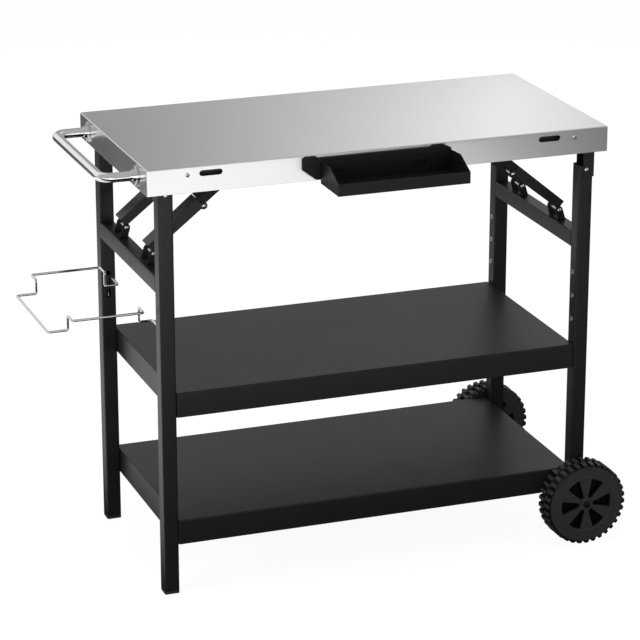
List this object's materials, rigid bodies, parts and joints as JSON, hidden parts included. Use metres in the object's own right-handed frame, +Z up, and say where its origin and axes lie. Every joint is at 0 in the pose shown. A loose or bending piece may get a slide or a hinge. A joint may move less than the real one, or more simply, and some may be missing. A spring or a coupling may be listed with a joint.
{
  "type": "folding grill cart",
  "caption": "Folding grill cart with stainless worktop, shelves, wheels at one end, side handle, wire bag rack and a lift-off side tray.",
  "frame": {"origin": "centre of the bounding box at floor level", "axes": "+X from the handle end to the wheel end, +Y from the tray side to the back, +Z up"},
  "size_m": [1.1647, 0.6064, 0.868],
  "materials": {
    "stainless_top": "brushed stainless sheet",
    "chrome_plate": "polished chrome",
    "zinc_plate": "bright zinc plating",
    "black_powder_coat": "satin black powder coat",
    "black_plastic": "moulded black plastic"
  },
  "bodies": {
    "frame": {"axle": "zinc_plate", "brace_clevis_back_left": "black_powder_coat", "brace_clevis_back_right": "black_powder_coat", "brace_clevis_front_left": "black_powder_coat", "brace_clevis_front_right": "black_powder_coat", "brace_foot_pin_back_left": "zinc_plate", "brace_foot_pin_back_right": "zinc_plate", "brace_foot_pin_front_left": "zinc_plate", "brace_foot_pin_front_right": "zinc_plate", "brace_head_pin_back_left": "zinc_plate", "brace_head_pin_back_right": "zinc_plate", "brace_head_pin_front_left": "zinc_plate", "brace_head_pin_front_right": "zinc_plate", "brace_knuckle_pin_back_left": "zinc_plate", "brace_knuckle_pin_back_right": "zinc_plate", "brace_knuckle_pin_front_left": "zinc_plate", "brace_knuckle_pin_front_right": "zinc_plate", "brace_lower_back_left": "black_powder_coat", "brace_lower_back_right": "black_powder_coat", "brace_lower_front_left": "black_powder_coat", "brace_lower_front_right": "black_powder_coat", "brace_upper_back_left": "black_powder_coat", "brace_upper_back_right": "black_powder_coat", "brace_upper_front_left": "black_powder_coat", "brace_upper_front_right": "black_powder_coat", "crossbar_left": "black_powder_coat", "crossbar_right": "black_powder_coat", "end_rail_left": "black_powder_coat", "end_rail_right": "black_powder_coat", "foot_cap_back": "black_plastic", "foot_cap_front": "black_plastic", "handle_flange_back": "chrome_plate", "handle_flange_front": "chrome_plate", "handle_tube": "chrome_plate", "hub_cap_back": "black_plastic", "hub_cap_front": "black_plastic", "leg_back_left": "black_powder_coat", "leg_back_right": "black_powder_coat", "leg_front_left": "black_powder_coat", "leg_front_right": "black_powder_coat", "leg_plug_back": "black_plastic", "leg_plug_front": "black_plastic", "pivot_bolt_back_left": "zinc_plate", "pivot_bolt_back_right": "zinc_plate", "pivot_bolt_front_left": "zinc_plate", "pivot_bolt_front_right": "zinc_plate", "shelf_lower": "black_powder_coat", "shelf_middle": "black_powder_coat", "side_rail_back": "black_powder_coat", "side_rail_front": "black_powder_coat", "tabletop": "stainless_top", "top_stiffener_back": "black_powder_coat", "top_stiffener_front": "black_powder_coat", "tray_hanger": "black_powder_coat", "wheel_washer_back": "zinc_plate", "wheel_washer_front": "zinc_plate"},
    "front_wheel": {"wheel_front": "black_plastic"},
    "back_wheel": {"wheel_back": "black_plastic"},
    "rack": {"bag_rack": "chrome_plate"},
    "tray": {"side_tray": "black_powder_coat"}
  },
  "joints": [
    {"name": "front_wheel_spin", "type": "hinge", "parent": "frame", "child": "front_wheel", "pos_m": [0.49585, -0.21675, 0.0865], "axis": [0, 1, 0], "continuous": true},
    {"name": "back_wheel_spin", "type": "hinge", "parent": "frame", "child": "back_wheel", "pos_m": [0.49585, 0.27355, 0.0865], "axis": [0, 1, 0], "continuous": true},
    {"name": "rack_lift", "type": "slide", "parent": "frame", "child": "rack", "axis": [0, 0, 1], "range_m": [0, 0.005]},
    {"name": "tray_lift", "type": "slide", "parent": "frame", "child": "tray", "axis": [0, 0, 1], "range_m": [0, 0.0085]}
  ]
}
